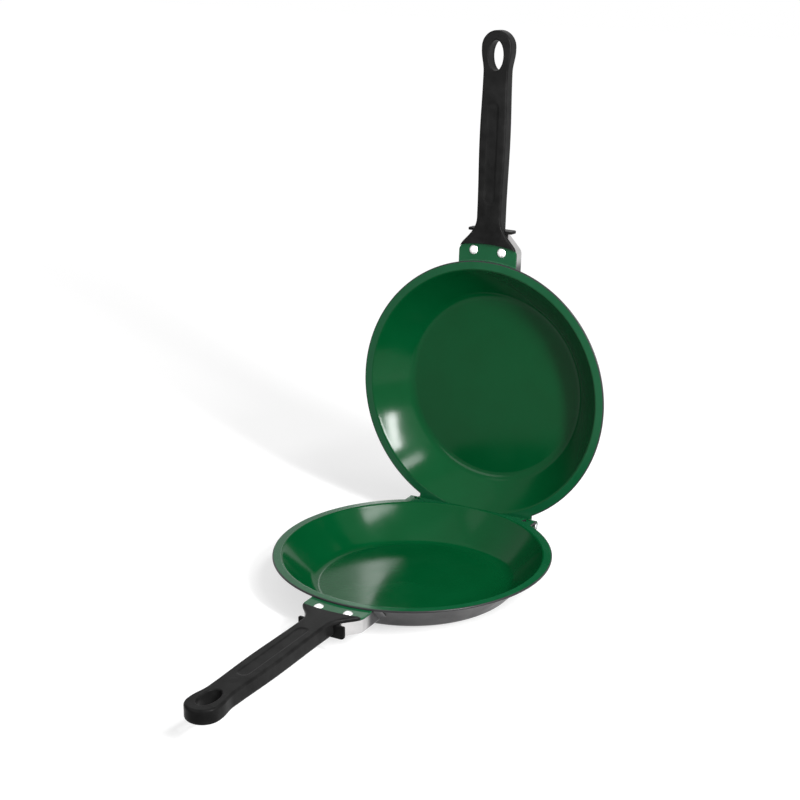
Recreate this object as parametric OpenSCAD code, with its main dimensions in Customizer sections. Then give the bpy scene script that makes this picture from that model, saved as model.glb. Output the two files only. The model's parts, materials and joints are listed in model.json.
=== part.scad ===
// Double sided flip pan: two shallow round pans that close rim to rim on one hinge,
// each with its own handle, so that what cooks inside is turned over with the pan.
//
// Frame: the origin is the centre of the lower pan's flat bottom, +Z is up, +X runs
// along the hinge axis and +Y from the handles to the hinge. All sizes are millimetres.
// The two halves are the same stamping apart from the hinge: the lower one carries
// curled knuckles, the upper one two bent lugs. The pan is drawn open, as it stands.

/* [Pan] */
// Outer diameter of the flat rim
rim_d = 250; // [236:1:266]
// Width of the flat rim
rim_w = 8.3; // [7:0.1:10]
// Height of one half, from its bottom to its rim
pan_h = 31.3; // [27:0.1:38]
// Inside diameter of the floor, measured to the corner with the wall
floor_d = 178; // [160:1:186]
// Thickness of the stamped sheet
sheet_t = 2; // [1.6:0.1:2.4]
// Inside radius between the floor and the wall
floor_fillet = 9; // [5:0.5:14]
// Inside radius of the bend under the rim
lip_bend = 0.6; // [0.4:0.1:1.5]

/* [Handle tab] */
// Width of the tab that carries the handle
tab_w = 58.4; // [56:0.1:59]
// How far the tab stands out from the rim
tab_reach = 16; // [14:0.5:20]
// Corner radius of the tab
tab_corner = 6; // [3:0.5:9]
// Depth that the tab is pressed down below the rim
tab_step = 2; // [1.8:0.1:3]

/* [Rivets] */
// Diameter of the rivet shank
rivet_d = 4; // [3:0.1:5]
// Diameter of the domed rivet head
rivet_head_d = 8.6; // [7:0.1:9]
// Height of the domed rivet head
rivet_head_h = 1.9; // [1:0.1:1.9]
// Distance between the two rivets
rivet_spacing = 28.5; // [22:0.5:34]
// Distance of the rivets from the outer edge of the tab
rivet_inset = 6.7; // [6:0.1:8]

/* [Guard] */
// Outer width of the steel guard between pan and handle
guard_w = 56.8; // [54:0.1:58]
// Thickness of the guard's sheet
guard_t = 0.8; // [0.6:0.1:1]
// Depth of the guard's bottom below the rim
guard_depth = 16.5; // [16:0.1:18]
// Gap between the underside of the tab and the guard's upper edge
guard_gap = 0.2; // [0.1:0.1:0.4]
// Radius of the bend with which the guard's sides turn in to the handle
guard_bend = 8; // [5:0.5:10]
// Angle by which the guard's sides turn in
guard_turn = 43; // [38:1:46]
// Length of guard past the tab's outer edge
guard_past = 10.5; // [8:0.5:11.5]
// Width of the lips that lie on the pan's wall
guard_lip = 6; // [3:0.5:8]
// Radius of the guard's upper corner at the wall
guard_brow = 5; // [3:0.5:8]
// Radius of the guard's lower corner at the wall
guard_chin = 6; // [4:0.5:7]

/* [Handle] */
// Length of the handle past the tab
handle_l = 192.3; // [170:0.1:210]
// How far the handle's shoulder reaches past the outside of the guard
shoulder_over = 2.2; // [1.6:0.1:2.6]
// Thickness of the shoulder
shoulder_t = 3.9; // [3:0.1:4]
// Width of the neck
neck_w = 24.4; // [20:0.1:25]
// Width of the grip at its widest
grip_w = 26.4; // [24:0.1:30]
// Width of the waist before the hanging loop
waist_w = 24.4; // [20:0.1:25]
// Width of the hanging loop
loop_w = 29.8; // [27:0.1:32]
// Depth of the handle at the neck
neck_depth = 14.5; // [13:0.1:15.5]
// Depth of the handle at its tip
tip_depth = 13; // [11:0.1:14]
// Rounding of the handle's inner edge
inner_edge = 2.2; // [1:0.1:3]
// Rounding of the handle's outer edge
outer_edge = 2.6; // [1:0.1:4]
// Length of the hanging hole
hang_l = 27; // [22:0.5:29]
// Width of the hanging hole
hang_w = 14.6; // [10:0.1:16]
// Distance of the hanging hole's centre from the tip
hang_inset = 22.3; // [20:0.1:26]
// Width of the collar that closes the guard
collar_w = 44.6; // [42:0.2:48]
// Thickness of the collar
collar_t = 2.5; // [2:0.1:4]
// Width of the recess in the handle's inner face
recess_w = 10; // [6:0.5:12]
// Length of the recess
recess_l = 92; // [60:1:100]
// Depth of the recess
recess_depth = 0.6; // [0.3:0.1:1]

/* [Magnets] */
// Diameter of the magnet that holds the handles together
magnet_d = 9; // [6:0.5:10]
// Height of the magnet
magnet_h = 5; // [3:0.5:7]
// Height of the plug over the magnet
plug_h = 1.6; // [1:0.1:2.5]
// Distance of the magnet from the handle's tip
magnet_inset = 53.3; // [46:0.1:56]

/* [Hinge] */
// Diameter of the hinge pins
pin_d = 5; // [4:0.1:5.6]
// Distance of the hinge axis inside the rim's outer circle
hinge_inset = 8.6; // [8:0.1:10]
// Half the width of the plain middle stretch
knuckle_in = 36; // [34:1:42]
// Distance of the inner knuckle's outer end from the middle
knuckle_out = 57; // [52:0.5:60]
// Width of the slit that the lug passes through
slit_w = 3.3; // [2.9:0.1:4.5]
// Width of the outer knuckle
ear_w = 6.7; // [5:0.1:9]
// Length of the stop lip turned down behind the middle stretch
stop_lip = 3; // [2:0.1:3.4]
// Gap between the rims when closed
closed_gap = 0.4; // [0.3:0.05:0.8]

/* [Pose] */
// Angle between the two rims
open_angle = 94.2; // [0:0.1:94.2]

/* [Hidden] */

$fn = 64;
green = [0.0, 0.30, 0.14];
black = [0.14, 0.14, 0.14];
steel = [0.82, 0.83, 0.85];
dull_steel = [0.55, 0.56, 0.58];

// Running clearances, all measured on the radius or on one side
pin_press = 0.02;
pin_run = 0.08;
rivet_fit = 0.05;
magnet_fit = 0.05;
guard_fit = 0.3;
wall_fit = 0.3;
edge_fit = 0.3;

// How far forms that make up one solid reach into each other
joint = 0.3;

// Pan: radii, the wall's slope from the horizontal, and the centres of its two bends
rim_r = rim_d / 2;
lip_r = rim_r - rim_w;
floor_r = floor_d / 2;
wall_a = atan2(pan_h - sheet_t, lip_r - floor_r);
lip_top = lip_bend + sheet_t;
floor_c = [floor_r - floor_fillet * tan(wall_a / 2), sheet_t + floor_fillet];
lip_c = [lip_r + lip_top * tan(wall_a / 2), pan_h - lip_top];

// Handle side: distances from the pan's centre, and depths below the rim
tab_r = rim_r + tab_reach;
tab_under = tab_step + sheet_t;
tab_from = lip_r - 12;
rivet_s = tab_r - rivet_inset;
guard_top = tab_under + guard_gap;
web_top = guard_depth - guard_t;
guard_end = tab_r + guard_past;
bend_s = tab_r - 8;
tongue_s = rivet_s - 6;
tongue_top = shoulder_t - joint;
collar_s = guard_end + 0.2;

// Handle: distances past the tab's outer edge at which its width is set
shoulder_at = -6;
shoulder_blend = 8;
neck_at = 0.16 * handle_l;
grip_at = 0.505 * handle_l;
waist_at = 0.806 * handle_l;
loop_at = 0.91 * handle_l;
tip_at = handle_l - loop_w / 2;
hang_s = tab_r + handle_l - hang_inset;
magnet_s = tab_r + handle_l - magnet_inset;
recess_s = tab_r + neck_at + 6;

// Hinge: the sheet curls round the axis and stays tangent to the top of the rim
pin_r = pin_d / 2;
curl_slack = 0.2;
curl_end = -190;
curl_run_in = 8;
knuckle_r = pin_r + curl_slack + sheet_t;
hinge_y = rim_r - hinge_inset;
hinge_z = pan_h - knuckle_r;
ear_in = knuckle_out + slit_w;
ear_out = ear_in + ear_w;
lug_in = knuckle_out + (slit_w - sheet_t) / 2;
lug_out = lug_in + sheet_t;
lug_r = knuckle_r - 0.3;
lug_corner = 2.5;
lug_axis_z = pan_h + closed_gap + knuckle_r;
pin_in = knuckle_in - 0.5;
pin_out = ear_out + 1;
pin_chamfer = 0.5;

// ---- helpers ----

// Points of an arc about c, from one angle to another
function arc(c, r, from, to, steps = 8) =
    [for (i = [0:steps]) c + r * [cos(from + (to - from) * i / steps), sin(from + (to - from) * i / steps)]];

// The same outline with its points turned over in x and in order
function flip_x(points) = [for (i = [len(points) - 1:-1:0]) [-points[i][0], points[i][1]]];

// Radius of the wall's outer side at height z, moved out by a distance off
function wall_out(z, off) = floor_r + (z - sheet_t) / tan(wall_a) + (sheet_t + off) / sin(wall_a);

// Handle side: children are drawn with their second axis away from the pan's centre
// and their third up from the rim's plane
module handle_side() {
    translate([0, 0, pan_h]) mirror([0, 1, 0]) children();
}

// Extrudes an outline drawn in (y, z) along x
module along_x(from, to) {
    translate([from, 0, 0]) rotate([90, 0, 90]) linear_extrude(to - from) children();
}

// Extrudes an outline drawn in (x, z) along y
module along_y(from, to) {
    translate([0, to, 0]) rotate([90, 0, 0]) linear_extrude(to - from) children();
}

// Repeats the children on both sides of the middle plane
module both_sides() {
    children();
    mirror([1, 0, 0]) children();
}

// Moves a half from the lower pan's place to the upper pan's, at the open angle
module upper_place() {
    translate([0, hinge_y, hinge_z])
        rotate([-open_angle, 0, 0])
            translate([0, -hinge_y, 2 * pan_h + closed_gap - hinge_z])
                mirror([0, 0, 1]) children();
}

// ---- pan ----

// One sheet of even thickness: floor, soft corner, sloped wall, bend and flat rim
module bowl() {
    edge = sheet_t / 2;
    rotate_extrude($fn = 180)
        polygon(concat(
            [[0, 0]],
            arc(floor_c, floor_fillet + sheet_t, -90, -90 + wall_a),
            arc(lip_c, lip_bend, 90 + wall_a, 90, 3),
            arc([rim_r - edge, pan_h - edge], edge, -90, 90, 6),
            arc(lip_c, lip_top, 90, 90 + wall_a, 5),
            arc(floor_c, floor_fillet, -90 + wall_a, -90),
            [[0, sheet_t]]
        ));
}

// Outline of the handle tab, grown by a distance all round
function tab_outline(grow) =
    let (corner = tab_corner + grow)
    let (x = tab_w / 2 + grow - corner)
    let (s = sqrt(pow(tab_r + grow - corner, 2) - x * x))
    let (a = atan2(s, x))
    concat(
        [[tab_w / 2 + grow, tab_from]],
        arc([x, s], corner, 0, a, 6),
        arc([0, 0], tab_r + grow, a, 180 - a, 12),
        arc([-x, s], corner, 180 - a, 180, 6),
        [[-tab_w / 2 - grow, tab_from]]
    );

// Handle tab: the sheet goes on past the rim, pressed down by tab_step
module handle_tab() {
    bend_r = rim_r - tab_step - 1.5;
    past = tab_r + 5;
    handle_side() intersection() {
        rotate_extrude($fn = 180)
            polygon([
                [bend_r, -sheet_t / 2],
                [bend_r, -sheet_t],
                [bend_r + tab_step, -tab_under],
                [past, -tab_under],
                [past, -tab_step],
                [rim_r + 0.6, -tab_step],
                [rim_r, -sheet_t / 2]
            ]);
        translate([0, 0, -tab_under - 1]) linear_extrude(tab_under + 1) polygon(tab_outline(0));
    }
}

// Holes for the two rivets, through everything between two depths
module rivet_holes(from, to) {
    handle_side() for (side = [-1, 1])
        translate([side * rivet_spacing / 2, rivet_s, -to]) cylinder(r = rivet_d / 2 + rivet_fit, h = to - from);
}

// Clears the inside of the bowl out of what is added to its rim
module rim_clearing() {
    low = pan_h - sheet_t - 0.25;
    translate([0, 0, low]) cylinder(r = lip_c[0] + 0.4, h = sheet_t + knuckle_r, $fn = 180);
}

// Section of a knuckle about the hinge axis: the sheet runs in flat and curls round the
// pin. The point inside the pin's bore only closes the outline.
function knuckle_section() = concat(
    [[-knuckle_r - curl_run_in, knuckle_r]],
    arc([0, 0], knuckle_r, 90, curl_end, 28),
    [
        0.9 * pin_r * [cos(curl_end), sin(curl_end)],
        [-0.36 * pin_r, knuckle_r - sheet_t],
        [-knuckle_r - curl_run_in, knuckle_r - sheet_t]
    ]
);

// Section of the plain middle: a quarter curl that ends in the stop lip
function stop_section() = concat(
    [[-1.5 * sheet_t, knuckle_r]],
    arc([0, 0], knuckle_r, 90, 0, 9),
    [[knuckle_r, -stop_lip], [knuckle_r - sheet_t, -stop_lip]],
    arc([0, 0], knuckle_r - sheet_t, 0, 90, 6),
    [[-1.5 * sheet_t, knuckle_r - sheet_t]]
);

// What is cut off the round rim behind the axis, so that the upper rim can swing past
function rim_cut_section() =
    let (back = knuckle_r + 2 * hinge_inset)
    concat(
        [[0, knuckle_r + 1]],
        arc([0, 0], knuckle_r, 90, 0, 9),
        [[knuckle_r, -knuckle_r], [back, -knuckle_r], [back, knuckle_r + 1]]
    );

// Lower half of the hinge: the sheet's straight rear edge, curled into knuckles
module knuckles() {
    difference() {
        translate([0, hinge_y, hinge_z]) difference() {
            union() {
                along_x(-knuckle_in, knuckle_in) polygon(stop_section());
                both_sides() {
                    along_x(knuckle_in, knuckle_out) polygon(knuckle_section());
                    along_x(ear_in, ear_out) polygon(knuckle_section());
                }
            }
            both_sides() translate([knuckle_in, 0, 0]) rotate([0, 90, 0])
                cylinder(r = pin_r + pin_press, h = ear_out - knuckle_in + 1);
        }
        rim_clearing();
    }
}

module lower_pan() color(green) {
    cut_x = sqrt(rim_r * rim_r - hinge_y * hinge_y) + 1;
    difference() {
        union() {
            difference() {
                bowl();
                translate([0, hinge_y, hinge_z]) along_x(-cut_x, cut_x) polygon(rim_cut_section());
            }
            handle_tab();
            knuckles();
        }
        rivet_holes(0, tab_under + 1);
    }
}

// Upper half of the hinge: the rim is widened to the lugs, which are bent up 90 degrees
// and reach round the pins
module lugs() {
    reach = hinge_y + lug_r;
    foot = -lug_axis_z + pan_h - sheet_t;
    difference() {
        union() {
            translate([0, 0, pan_h - sheet_t]) linear_extrude(sheet_t)
                polygon(concat(
                    [[lug_out, tab_from]],
                    arc([lug_out - lug_corner, reach - lug_corner], lug_corner, 0, 90, 5),
                    arc([lug_corner - lug_out, reach - lug_corner], lug_corner, 90, 180, 5),
                    [[-lug_out, tab_from]]
                ));
            both_sides() translate([0, hinge_y, lug_axis_z])
                along_x(lug_in, lug_out) polygon(concat([[-lug_r, foot], [lug_r, foot]], arc([0, 0], lug_r, 0, 180, 16)));
        }
        both_sides() translate([lug_in - 1, hinge_y, lug_axis_z]) rotate([0, 90, 0])
            cylinder(r = pin_r + pin_run, h = sheet_t + 2);
        // outer side of the bend between rim and lug, and the tab's round corner below it
        both_sides() along_y(hinge_y - lug_r - 1, reach + 1)
            polygon(concat(
                [[lug_out + 1, pan_h], [lug_out, pan_h]],
                arc([lug_out - sheet_t, pan_h], sheet_t, 0, -90, 5),
                [[lug_out - sheet_t, pan_h - sheet_t - 1], [lug_out + 1, pan_h - sheet_t - 1]]
            ));
        rim_clearing();
    }
}

module upper_pan() color(green) upper_place() difference() {
    union() {
        bowl();
        handle_tab();
        lugs();
    }
    rivet_holes(0, tab_under + 1);
}

// ---- guard ----

// Half the guard's width at distance s, moved in by a distance: a straight side, a bend,
// and a straight slope in to the handle
function guard_half(s, inset) =
    let (c = [guard_w / 2 - guard_bend, bend_s])
    let (r = guard_bend - inset)
    s <= c[1] ? c[0] + r
    : s < c[1] + r * sin(guard_turn) ? c[0] + sqrt(r * r - pow(s - c[1], 2))
    : c[0] + r / cos(guard_turn) - (s - c[1]) * tan(guard_turn);

// Plan outline of the guard, moved in by a distance
function guard_outline(inset, from, to) =
    let (side = concat(
        [[guard_w / 2 - inset, from]],
        arc([guard_w / 2 - guard_bend, bend_s], guard_bend - inset, 0, guard_turn, 5),
        [[guard_half(to, inset), to]]
    ))
    concat(side, flip_x(side));

// Centres of the rounded corners at the guard's wall end, above and below
wall_side = sqrt(pow(wall_out(pan_h - guard_top, wall_fit), 2) - pow(guard_w / 2, 2));
brow_c = [wall_side + 0.1 * guard_brow, -guard_top - guard_brow];
chin_c = [wall_out(pan_h - guard_depth, wall_fit) + 0.8 * guard_chin, guard_chin - guard_depth];
guard_start = chin_c[0] - guard_chin - 1;

// Side view of the guard: its end follows the pan's wall and has rounded corners
function guard_side() = concat(
    [[guard_end + 1, -guard_top]],
    arc(brow_c, guard_brow, 90, 140, 6),
    arc(chin_c, guard_chin, 180, 270, 6),
    [[guard_end + 1, -guard_depth]]
);

// Outline of a lip as it is seen along the handle, with round corners at its free end
function lip_outline() =
    let (corner = 3)
    let (x = guard_w / 2 + guard_lip - corner)
    let (low = guard_depth - guard_chin / 2)
    concat(
        [[guard_w / 2 - guard_t, -guard_top]],
        arc([x, -guard_top - corner], corner, 90, 0, 5),
        arc([x, corner - low], corner, 0, -90, 5),
        [[guard_w / 2 - guard_t, -low]]
    );

// A skin on the outside of the wall, between two distances from it
module wall_skin(near, far) {
    top = pan_h - sheet_t;
    rotate_extrude($fn = 180)
        polygon([
            [wall_out(sheet_t, near), sheet_t],
            [wall_out(sheet_t, far), sheet_t],
            [wall_out(top, far), top],
            [wall_out(top, near), top]
        ]);
}

module guard() color(steel) {
    difference() {
        handle_side() intersection() {
            difference() {
                translate([0, 0, -guard_depth]) linear_extrude(guard_depth)
                    polygon(guard_outline(0, guard_start, guard_end));
                translate([0, 0, -web_top]) linear_extrude(guard_depth)
                    polygon(guard_outline(guard_t, guard_start - 1, guard_end + 0.1));
            }
            along_x(-guard_w, guard_w) polygon(guard_side());
        }
        // the pan's own wall, with its clearance
        rotate_extrude($fn = 180)
            polygon([[0, 0], [wall_out(0, wall_fit), 0], [wall_out(pan_h, wall_fit), pan_h], [0, pan_h]]);
        rivet_holes(tab_under, guard_depth + 1);
    }
    // lips that lie on the wall
    intersection() {
        wall_skin(wall_fit, wall_fit + guard_t);
        both_sides() handle_side() along_y(0, rim_r) polygon(lip_outline());
    }
}

module lower_guard() guard();
module upper_guard() upper_place() guard();

// ---- handle ----

function ease(t) = (1 - cos(180 * t)) / 2;
function between(a, b, t) = a + (b - a) * ease(t);

// The larger of two values, with a soft change over where they come within a distance
function soft_max(a, b, near) = max(a, b) + pow(max(0, near - abs(a - b)), 2) / near / 4;

// Half the handle's width at a distance past the tab
function half_width(d) =
    d < neck_at ? neck_w / 2
    : d < grip_at ? between(neck_w, grip_w, (d - neck_at) / (grip_at - neck_at)) / 2
    : d < waist_at ? between(grip_w, waist_w, (d - grip_at) / (waist_at - grip_at)) / 2
    : d < loop_at ? between(waist_w, loop_w, (d - waist_at) / (loop_at - waist_at)) / 2
    : loop_w / 2;

// The same at the inner face, where a shoulder spreads over the guard to the tab
function shoulder_half(d) =
    soft_max(guard_half(tab_r + d, 0) + shoulder_over, half_width(d), shoulder_blend);

// Right side of the plan outline, from the tab to just before the tip
grip_stations = concat(
    [for (i = [0:11]) shoulder_at + (neck_at - shoulder_at) * i / 12],
    [for (i = [0:3]) neck_at + (grip_at - neck_at) * i / 4],
    [for (i = [0:3]) grip_at + (waist_at - grip_at) * i / 4],
    [for (i = [0:5]) waist_at + (loop_at - waist_at) * i / 6]
);
grip_tip = arc([0, tab_r + tip_at], loop_w / 2, 0, 82, 8);
function whole_plan(side) = concat(side, [[0, tab_r + handle_l]], flip_x(side));
inner_plan = whole_plan(concat([for (d = grip_stations) [shoulder_half(d), tab_r + d]], grip_tip));
outer_plan = whole_plan(concat([for (d = grip_stations) [half_width(d), tab_r + d]], grip_tip));
grip_n = len(outer_plan);

// Unit vector into the handle at point i of a plan outline
function inward(plan, i) =
    i == 0 ? [-1, 0]
    : i == grip_n - 1 ? [1, 0]
    : let (t = plan[i + 1] - plan[i - 1]) [-t[1], t[0]] / norm(t);

// Depth of the handle's outer face below its inner one
function grip_depth(s) = neck_depth + (tip_depth - neck_depth) * (s - tab_r) / handle_l;

// One level of the handle: the outline moved in by an edge radius and set at its depth
function inner_level(a) = [
    for (i = [0:grip_n - 1])
        let (p = inner_plan[i] + inner_edge * (1 - cos(a)) * inward(inner_plan, i))
        [p[0], p[1], -inner_edge * (1 - sin(a))]
];
function outer_level(a) = [
    for (i = [0:grip_n - 1])
        let (p = outer_plan[i] + outer_edge * (1 - cos(a)) * inward(outer_plan, i))
        [p[0], p[1], -grip_depth(p[1]) + outer_edge * (1 - sin(a))]
];

// The grip is lofted through its levels, from the flat inner face over the step under the
// shoulder to the outer face. The outline is symmetrical, so point i lies across from point grip_n - 1 - i.
module grip() {
    angles = [90, 60, 30, 0];
    step = 0.2;
    levels = concat(
        [for (a = angles) inner_level(a)],
        [[for (p = inner_plan) [p[0], p[1], step - shoulder_t]]],
        [[for (p = outer_plan) [p[0], p[1], -shoulder_t]]],
        [for (i = [3:-1:0]) outer_level(angles[i])]
    );
    last = len(levels) - 1;
    m = (grip_n - 1) / 2;
    low = last * grip_n;
    across = grip_n - 1;
    polyhedron(
        points = [for (level = levels) each level],
        faces = concat(
            // inner face
            [for (i = [0:m - 1]) [i, across - i, across - i - 1]],
            [for (i = [0:m - 2]) [i, across - i - 1, i + 1]],
            // outer face
            [for (i = [0:m - 1]) [low + i, low + across - i - 1, low + across - i]],
            [for (i = [0:m - 2]) [low + i, low + i + 1, low + across - i - 1]],
            // sides
            [for (k = [0:last - 1]) for (i = [0:grip_n - 2])
                [k * grip_n + i, k * grip_n + i + 1, (k + 1) * grip_n + i + 1]],
            [for (k = [0:last - 1]) for (i = [0:grip_n - 2])
                [k * grip_n + i, (k + 1) * grip_n + i + 1, (k + 1) * grip_n + i]],
            // end inside the guard
            [for (k = [0:last - 1]) [k * grip_n, (k + 1) * grip_n, k * grip_n + across]],
            [for (k = [0:last - 1]) [(k + 1) * grip_n, (k + 1) * grip_n + across, k * grip_n + across]]
        )
    );
}

// Collar that closes the guard: a thin plate across the handle with round corners
module collar() {
    low_r = 3;
    top_r = 1;
    top = guard_top + 0.6;
    low = guard_depth - 0.4;
    side = collar_w / 2;
    along_y(collar_s, collar_s + collar_t)
        polygon(concat(
            arc([side - low_r, low_r - low], low_r, -90, 0, 5),
            arc([side - top_r, -top - top_r], top_r, 0, 90, 3),
            arc([top_r - side, -top - top_r], top_r, 90, 180, 3),
            arc([low_r - side, low_r - low], low_r, 180, 270, 5)
        ));
}

// Ellipse with the hanging hole's length and width
module hanging_hole() {
    translate([0, hang_s, -2 * neck_depth]) linear_extrude(3 * neck_depth)
        polygon([for (a = [0:10:350]) [hang_w / 2 * cos(a), hang_l / 2 * sin(a)]]);
}

// Shallow recess with round ends along the inner face
module recess() {
    r = recess_w / 2;
    from = recess_s + r;
    to = from + recess_l - recess_w;
    translate([0, 0, -recess_depth]) linear_extrude(1)
        polygon(concat(arc([0, to], r, 0, 180, 12), arc([0, from], r, 180, 360, 12)));
}

module handle() color(black) {
    difference() {
        handle_side() difference() {
            union() {
                grip();
                // tongue inside the guard, under the tab
                translate([0, 0, -web_top]) linear_extrude(web_top - tongue_top)
                    polygon(guard_outline(guard_t + guard_fit, tongue_s, guard_end - 0.1));
                translate([-neck_w / 2, guard_end - 1, -neck_depth + outer_edge])
                    cube([neck_w, collar_t + 1, neck_depth - outer_edge - tab_under]);
                collar();
            }
            // room for the tab
            translate([0, 0, -tab_under]) linear_extrude(2 * tab_under) polygon(tab_outline(edge_fit));
            recess();
            hanging_hole();
            translate([0, magnet_s, -plug_h - magnet_h]) cylinder(r = magnet_d / 2 + magnet_fit, h = 2 * magnet_h);
        }
        rivet_holes(0, guard_depth);
    }
}

module lower_handle() handle();
module upper_handle() upper_place() handle();

// ---- rivets, magnets and pins ----

// Rivet: a domed head on the tab, a shank through tab, handle and guard, a flat tail
module rivet(side) color(steel) {
    dome_r = (pow(rivet_head_d / 2, 2) + pow(rivet_head_h, 2)) / (2 * rivet_head_h);
    dome_a = asin(rivet_head_d / 2 / dome_r);
    tail_r = 0.85 * rivet_d;
    tail_end = -guard_depth - 1;
    chamfer = 0.4;
    handle_side() translate([side * rivet_spacing / 2, rivet_s, 0])
        rotate_extrude()
            polygon(concat(
                [[0, tail_end], [tail_r - chamfer, tail_end], [tail_r, tail_end + chamfer]],
                [[tail_r, -guard_depth], [rivet_d / 2, -guard_depth], [rivet_d / 2, -tab_step]],
                arc([0, rivet_head_h - tab_step - dome_r], dome_r, 90 - dome_a, 90, 8)
            ));
}

module lower_rivet_left() rivet(-1);
module lower_rivet_right() rivet(1);
module upper_rivet_left() upper_place() rivet(-1);
module upper_rivet_right() upper_place() rivet(1);

// Magnet at the bottom of its pocket, and the plug that closes the pocket flush
module magnet() color(dull_steel) handle_side()
    translate([0, magnet_s, -plug_h - magnet_h]) cylinder(d = magnet_d, h = magnet_h);

module magnet_plug() color(black) handle_side()
    translate([0, magnet_s, -plug_h]) cylinder(d = magnet_d, h = plug_h);

module lower_magnet() magnet();
module lower_magnet_plug() magnet_plug();
module upper_magnet() upper_place() magnet();
module upper_magnet_plug() upper_place() magnet_plug();

// Hinge pin: pressed into both knuckles of one side, with the lug running between them
module hinge_pin(side) color(steel) {
    end_r = pin_r - pin_chamfer;
    l = pin_out - pin_in;
    translate([side * pin_in, hinge_y, hinge_z]) rotate([0, side * 90, 0])
        rotate_extrude()
            polygon([[0, 0], [end_r, 0], [pin_r, pin_chamfer], [pin_r, l - pin_chamfer], [end_r, l], [0, l]]);
}

module hinge_pin_left() hinge_pin(-1);
module hinge_pin_right() hinge_pin(1);

lower_pan();
lower_guard();
lower_handle();
lower_rivet_left();
lower_rivet_right();
lower_magnet();
lower_magnet_plug();
hinge_pin_left();
hinge_pin_right();
upper_pan();
upper_guard();
upper_handle();
upper_rivet_left();
upper_rivet_right();
upper_magnet();
upper_magnet_plug();
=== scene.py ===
"""Looks of a double sided flip pan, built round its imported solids.

Shapes are worked out in millimetres in the place of the lower half: x along the hinge,
y from the handle to the hinge, z up from the bottom. On the handle's side, s is the
distance from the pan's centre towards the handle, and depth is measured down from the
rim. The upper half is worked out there too, then turned over and swung about the hinge.
"""
import json

import bmesh
import bpy
import numpy as np
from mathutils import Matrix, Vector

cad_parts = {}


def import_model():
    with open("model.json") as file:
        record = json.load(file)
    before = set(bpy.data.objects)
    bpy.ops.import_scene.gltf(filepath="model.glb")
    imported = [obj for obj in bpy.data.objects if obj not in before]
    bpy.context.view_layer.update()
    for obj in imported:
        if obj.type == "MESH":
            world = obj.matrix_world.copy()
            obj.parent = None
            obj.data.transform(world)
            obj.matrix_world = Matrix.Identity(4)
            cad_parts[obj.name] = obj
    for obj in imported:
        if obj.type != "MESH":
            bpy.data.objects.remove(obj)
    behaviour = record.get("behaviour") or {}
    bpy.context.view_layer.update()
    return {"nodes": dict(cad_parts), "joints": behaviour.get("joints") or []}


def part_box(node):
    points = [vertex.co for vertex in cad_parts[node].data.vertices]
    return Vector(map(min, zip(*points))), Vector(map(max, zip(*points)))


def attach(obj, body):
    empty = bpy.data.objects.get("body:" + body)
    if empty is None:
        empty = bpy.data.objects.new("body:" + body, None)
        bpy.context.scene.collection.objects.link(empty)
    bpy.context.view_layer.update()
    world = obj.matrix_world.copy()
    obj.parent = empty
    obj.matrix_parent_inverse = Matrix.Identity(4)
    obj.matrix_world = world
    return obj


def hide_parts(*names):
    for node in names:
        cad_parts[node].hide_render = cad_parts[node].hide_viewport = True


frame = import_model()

MM = 0.001

# ---- sizes, mm -----------------------------------------------------------------------

pan_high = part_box("lower_pan")[1]
handle_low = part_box("lower_handle")[0]
hinge = frame["joints"][0]

RIM_R = pan_high.x / MM
PAN_H = pan_high.z / MM
HINGE_Y, HINGE_Z = hinge["pos_m"][1] / MM, hinge["pos_m"][2] / MM
OPEN_ANGLE = max(hinge["range_deg"])
CLOSED_GAP = 0.4

SHEET = 2.0
RIM_W = 8.3
FLOOR_R = 89.0
FLOOR_FILLET = 9.0
LIP_BEND = 0.6
EDGE = SHEET / 2
LIP_R = RIM_R - RIM_W
WALL_ANGLE = np.degrees(np.arctan2(PAN_H - SHEET, LIP_R - FLOOR_R))
LIP_TOP = LIP_BEND + SHEET
HALF_BEND = np.tan(np.radians(WALL_ANGLE / 2))
FLOOR_C = (FLOOR_R - FLOOR_FILLET * HALF_BEND, SHEET + FLOOR_FILLET)
LIP_C = (LIP_R + LIP_TOP * HALF_BEND, PAN_H - LIP_TOP)
WALL_CURVE = 9.0  # degrees by which the wall steepens
INNER_FILLET = 14.0
INNER_C = (FLOOR_R - INNER_FILLET * HALF_BEND, SHEET + INNER_FILLET)

TAB_W = 58.4
TAB_REACH = 16.0
TAB_CORNER = 6.0
TAB_STEP = 2.0
TAB_R = RIM_R + TAB_REACH
TAB_ROOT = RIM_R - 6
STEP_AT, STEP_LENGTH, STEP_ROOM = RIM_R - 2.6, 3.4, 0.12

RIVET_X = 14.25
RIVET_S = TAB_R - 6.7
RIVET_HEAD_R = 4.3
RIVET_HEAD_H = 1.9
RIVET_SHANK_R, RIVET_TAIL_R, RIVET_TAIL_H = 2, 3.4, 1

GUARD_W = 56.8
GUARD_T = 0.8
GUARD_DEPTH = 16.5
GUARD_TOP = TAB_STEP + SHEET + 0.2
GUARD_BEND = 8.0
GUARD_TURN = np.radians(43)
GUARD_END = TAB_R + 10.5
GUARD_BEND_S = TAB_R - 8
GUARD_CORNER = 1.6
GUARD_CHIN = 6.0
FLARE_R = 4.8
FLARE_LIP = 0.9
FLARE_BROW, FLARE_BROW_CUT, FLARE_JAW = 3.2, 1.4, 3.6  # its rounding, above and below
# where the guard's painted dark reflection of the pan begins, the length over which it eases in,
# and how far out from the middle it lies
SHADE_FROM, SHADE_LENGTH, SHADE_BESIDE = 120, 10, 20
FIT = 0.3

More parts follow.
